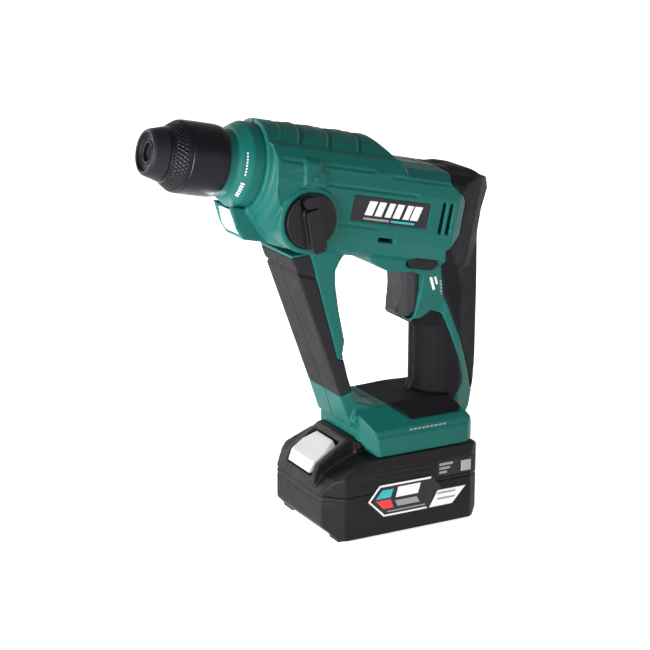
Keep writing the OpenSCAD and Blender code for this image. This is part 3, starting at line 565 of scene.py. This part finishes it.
SLEEVE_POINTS = [
    (19.3, 152.5), (19.9, 152.5), (20.5, 154.5), (20.8, 157), (20.8, 175.6), (20.3, 176), (20.3, 176.6),
    (20.7, 177), (20.3, 178.6), (15.8, 185.6), (15.4, 186.9), (13.6, 186.9), (13.6, 181), (11.5, 181),
    (11.5, 173.4), (11.05, 173), (11.05, 171.5), (17, 171.5), (17.4, 170), (17.4, 165.5), (19.3, 164.2)]
SLEEVE_RADII = [
    0.2, 0.3, 1.0, 1.2, 0.15, 0.1, 0.1, 0.15, 0.5, 0.3, 0.3, 0.2, 0.2, 0.2, 0.2, 0, 0, 0.2, 0.2, 0.2, 0.2]
SLEEVE_STEP = 0.45
sleeve_profile = resampled(rounded(SLEEVE_POINTS, SLEEVE_RADII), SLEEVE_STEP)
sleeve = lathe("chuck_sleeve", sleeve_profile, "sleeve", "sleeve_black", count=432, relief=knurl)
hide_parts("sleeve")

# ---------- remaining moulded pieces ----------

for small_node, small_voxel, small_rounds in [
    ("dust_cap", 0.32, 4), ("mode_knob", 0.3, 4), ("mode_lock_button", 0.25, 4), ("trigger", 0.35, 6),
    ("reverse_lever", 0.35, 5), ("gauge_button", 0.12, 3), ("release_button", 0.35, 4),
    ("gauge_panel", 0.15, 2), ("label_left", 0.2, 2), ("label_right", 0.2, 2)]:
    moulding(small_node, voxel=small_voxel, rounds=small_rounds, keep=0.5)

# ---------- printed marks: plain blocks and bars only ----------

# How far a print stands out, how far it sinks in, and the faces that it lies on
INK = 0.06
SINK = 0.2
LABEL_X = 32.5
PACK_LABEL_X = 39.5
PANEL_X = 38.4
BAR_WIDTHS = [5.2, 4.6, 4.0, 4.6, 4.0, 5.2]
BAR_PITCH = 6.2


def slanted(s_low, s_high, n_low, n_high, lean=0.0):
    """A bar on the body's side, in (Y, Z), leaning back by lean mm over its height."""
    return [yz(s_low, n_low), yz(s_high, n_low), yz(s_high - lean, n_high), yz(s_low - lean, n_high)]


def label_print(side, sign):
    """The bars and lines on one side's label; sign is 1 on +X."""
    inner, outer = sign * (LABEL_X - SINK), sign * (LABEL_X + INK)
    for index, width in enumerate(BAR_WIDTHS):
        s_low = 63.4 - BAR_PITCH * index
        bar = slanted(s_low, s_low + width, 187.6, 196.0, 2.2)
        side_print("label_bar_%s_%d" % (side, index), bar, inner, outer, "housing", WHITE_INK)
    side_print("label_line_grey_" + side, slanted(51.5, 69, 184.9, 186.1), inner, outer, "housing", GREY_INK)
    side_print("label_line_teal_" + side, slanted(34, 50.2, 184.9, 186.1), inner, outer, "housing", TEAL_INK)


label_print("left", 1)
label_print("right", -1)

for name, outline, ink in [
        ("pack_frame_top", [(-19.2, 32.9), (16.8, 32.7), (16.2, 31.5), (-18.6, 31.7)], WHITE_INK),
        ("pack_frame_back", [(-27.0, 23.7), (-19.2, 32.9), (-18.2, 32.2), (-25.6, 23.6)], WHITE_INK),
        ("pack_frame_low", [(-27.0, 23.7), (-16.2, 12.8), (-15.4, 13.6), (-25.6, 23.6)], WHITE_INK),
        ("pack_frame_base", [(-16.2, 12.8), (14, 12.8), (13.4, 13.9), (-15.6, 13.9)], WHITE_INK),
        ("pack_block_teal", [(-21.8, 24.4), (-17.4, 29.6), (-9.6, 29.6), (-11.6, 24.4)], TEAL_INK),
        ("pack_block_red", [(-21.8, 23.4), (-11.6, 23.4), (-9.4, 17.6), (-16.6, 17.6)], RED_INK),
        ("pack_block_white", [(-8.0, 23.8), (-6.4, 30.2), (9.4, 30.2), (7.4, 23.8)], WHITE_INK),
        ("pack_block_grey", [(-8.6, 21.8), (-6.6, 18.0), (8.8, 18.0), (6.6, 21.8)], GREY_INK),
        ("pack_line_grey", [(-14, 16.0), (12.6, 16.0), (12.9, 15.2), (-13.6, 15.2)], GREY_INK),
        ("pack_slope", [(21.4, 22.9), (41.2, 22.9), (31.8, 12.9), (15.6, 12.9)], WHITE_INK)]:
    side_print(name, outline, PACK_LABEL_X - SINK, PACK_LABEL_X + INK, "pack", ink)
for row, (low, high) in enumerate([(20.4, 21.6), (16.8, 18.0)]):
    side_print("pack_slope_bar_%d" % row, [(21.6, high), (34.4, high), (33.4, low), (20.8, low)],
               PACK_LABEL_X, PACK_LABEL_X + 2 * INK, "pack", GREY_INK)
for row, width in enumerate([9.6, 7.6, 5.4]):
    top = 39.4 - 2.6 * row
    side_print("gauge_bar_%d" % row, [(23, top), (23 + width, top), (23 + width, top - 1.5), (23, top - 1.5)],
               PANEL_X - SINK, PANEL_X + INK, "pack", GREY_INK)


side_print("mode_arrow", [yz(102.9, 205.6), yz(106.6, 205.6), yz(104.7, 201.9)], 33.2, 34.35, "housing",
           SLOTS["body_green"], "body_green")


def handle_side(z):
    """Half width of the handle's widening side at height z."""
    return 17.5 + (z - 140) * 4 / 18


def foot_side(z):
    """Half width of the upright band round the foot."""
    return 34.1 - (z - 61) * 0.22


for name, outline in [
        ("handle_mark_long", [(24.8, 151.4), (26.6, 151.4), (30.0, 143.0), (28.4, 142.6)]),
        ("handle_mark_short", [(28.0, 151.4), (29.4, 151.4), (31.4, 146.4), (30.2, 146.0)])]:
    side_print(name, outline, lambda z: handle_side(z) - 0.3, lambda z: handle_side(z) + 0.1, "housing",
               WHITE_INK)
for index in range(6):
    z = 148.6 - 2.2 * index
    y = 32.4 + 0.42 * index
    side_print("handle_dash_%d" % index, [(y, z), (y + 1.2, z), (y + 1.6, z - 1.4), (y + 0.4, z - 1.4)],
               lambda z: handle_side(z) - 0.3, lambda z: handle_side(z) + 0.1, "housing", GREY_INK)
for index in range(9):
    y = 4.5 + 2.9 * index
    side_print("foot_dash_%d" % index, [(y, 62.3), (y + 2.0, 62.3), (y + 2.0, 63.2), (y, 63.2)],
               lambda z: foot_side(z) - 0.3, lambda z: foot_side(z) + 0.08, "housing", GREY_INK)


def collar_marks(name, low, high, step, s_low, s_high):
    """Short bars printed round the collar's cone, between two angles from +X."""
    slope = (CONE_END_R - COLLAR_R) / (CONE_END_S - CONE_START_S)
    mesh = bpy.data.meshes.new(name)
    verts, faces = [], []
    for index in range(int((high - low) / step)):
        start, base = low + index * step, len(verts)
        for rise in (-SINK, 0.05):
            for s in (s_low, s_high):
                for part in (0, 0.55):
                    r = COLLAR_R + slope * (s - CONE_START_S) + rise
                    verts.append(on_spindle(r, s, math.radians(start + part * step)))
        faces += [tuple(base + i for i in face) for face in (
            (0, 1, 3, 2), (4, 6, 7, 5), (0, 4, 5, 1), (2, 3, 7, 6), (0, 2, 6, 4), (1, 5, 7, 3))]
    mesh.from_pydata(verts, [], faces)
    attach(new_object(name, mesh, None, WHITE_INK), "housing")


collar_marks("collar_bars", -44, -16, 4.4, 143.0, 144.8)
collar_marks("collar_dots", -8, 28, 4.4, 143.5, 144.2)

# ---------- carried-over CAD nodes: finish and small bevels ----------

BEVEL = 0.15


def finished(node, piece):
    piece.data.materials.clear()
    piece.data.materials.append(SLOTS[record_slot[node]])
    if piece.hide_render:
        return
    weld = piece.modifiers.new("weld", "WELD")
    weld.merge_threshold = 1e-6
    bevel = piece.modifiers.new("bevel", "BEVEL")
    bevel.width = BEVEL * MM
    bevel.segments = 2
    bevel.limit_method = "ANGLE"
    bevel.angle_limit = math.radians(40)
    bevel.use_clamp_overlap = True


for cad_name, cad_object in frame["nodes"].items():
    finished(cad_name, cad_object)

# ---------- stage, lights, camera ----------

FAR = 60
PAPER_GAP = 0.0004


def pale_floor():
    """A wide floor, a little under the pack, that glows to near white."""
    mesh = bpy.data.meshes.new("floor")
    mesh.from_pydata([(-FAR, -FAR, 0), (FAR, -FAR, 0), (FAR, FAR, 0), (-FAR, FAR, 0)], [], [(0, 1, 2, 3)])
    piece = bpy.data.objects.new("floor", mesh)
    bpy.context.scene.collection.objects.link(piece)
    piece.location.z = -PAPER_GAP
    look = Nodes("pale_floor")
    tone = look.ramp(look.noise(3.0), [(0.3, (0.94, 0.94, 0.94, 1)), (0.7, (0.97, 0.97, 0.97, 1))])
    look.link(tone, look.bsdf.inputs["Base Color"])
    look.bsdf.inputs["Roughness"].default_value = 0.9
    look.bsdf.inputs["Specular IOR Level"].default_value = 0.1
    look.bsdf.inputs["Emission Color"].default_value = (1, 1, 1, 1)
    look.bsdf.inputs["Emission Strength"].default_value = 0.72
    mesh.materials.append(look.material)
    return piece


floor = pale_floor()

# Grey level of the sky against the rise of the direction: bright near the horizon, a dimmer ceiling
SKY_BANDS = [(0.0, 1.0), (0.15, 1.0), (0.3, 0.36), (1.0, 0.26)]


def studio_world():
    world = bpy.data.worlds.new("studio")
    bpy.context.scene.world = world
    world.use_nodes = True
    sky = world.node_tree
    direction = sky.nodes.new("ShaderNodeTexCoord")
    split = sky.nodes.new("ShaderNodeSeparateXYZ")
    sky.links.new(direction.outputs["Generated"], split.inputs["Vector"])
    height_ramp = sky.nodes.new("ShaderNodeValToRGB")
    bands = height_ramp.color_ramp.elements
    while len(bands) < len(SKY_BANDS):
        bands.new(0.5)
    for band, (rise, glow) in zip(bands, SKY_BANDS):
        band.position = rise
        band.color = (glow, glow, glow, 1)
    sky.links.new(split.outputs["Z"], height_ramp.inputs["Fac"])
    sky.links.new(height_ramp.outputs["Color"], sky.nodes["Background"].inputs["Color"])
    sky.nodes["Background"].inputs["Strength"].default_value = 1.0


studio_world()


def lamp(name, place, aim, size, power):
    """A square soft box at place, turned to aim; metres and watts."""
    light = bpy.data.lights.new(name, "AREA")
    light.size = size
    light.energy = power
    holder = bpy.data.objects.new(name, light)
    bpy.context.scene.collection.objects.link(holder)
    holder.location = place
    holder.rotation_mode = "QUATERNION"
    holder.rotation_quaternion = (Vector(place) - Vector(aim)).to_track_quat("Z", "Y")


lamp("key", (0.42, -1.3, 0.30), (0, -0.03, 0.15), 0.55, 32)
lamp("side", (1.5, 0.15, 0.6), (0, 0, 0.15), 0.9, 5)
lamp("far_side", (-1.1, -0.35, 0.5), (0, 0, 0.15), 0.9, 9)
lamp("rear", (-0.25, 1.5, 0.25), (0, 0, 0.15), 0.8, 5)

WORK_LAMP_R, WORK_LAMP_S = 40, 142.5


def work_lamp():
    """The light of the tool's own lamp, just ahead of the lens."""
    light = bpy.data.lights.new("work_lamp", "POINT")
    light.energy = 0.014
    light.color = (0.8, 0.88, 1.0)
    light.shadow_soft_size = 0.004
    holder = bpy.data.objects.new("work_lamp", light)
    bpy.context.scene.collection.objects.link(holder)
    holder.location = on_spindle(WORK_LAMP_R, WORK_LAMP_S, -math.pi / 2)


work_lamp()

# The camera's axes and place, fitted to the photograph
VIEW_RIGHT = (0.47630, 0.87928, 0.00335)
VIEW_UP = (-0.24685, 0.13005, 0.96029)
VIEW_BACK = (0.84392, -0.45821, 0.27899)
VIEW_FROM = (1.00529, -0.58105, 0.45709)


def photo_camera():
    camera = bpy.data.cameras.new("camera")
    camera.sensor_width = 36.0
    camera.lens = 110.77
    camera.clip_end = 50
    eye = bpy.data.objects.new("camera", camera)
    bpy.context.scene.collection.objects.link(eye)
    eye.matrix_world = Matrix([
        [VIEW_RIGHT[i], VIEW_UP[i], VIEW_BACK[i], VIEW_FROM[i]] for i in range(3)] + [[0, 0, 0, 1]])
    bpy.context.scene.camera = eye


photo_camera()
bpy.context.scene.view_settings.view_transform = "Standard"
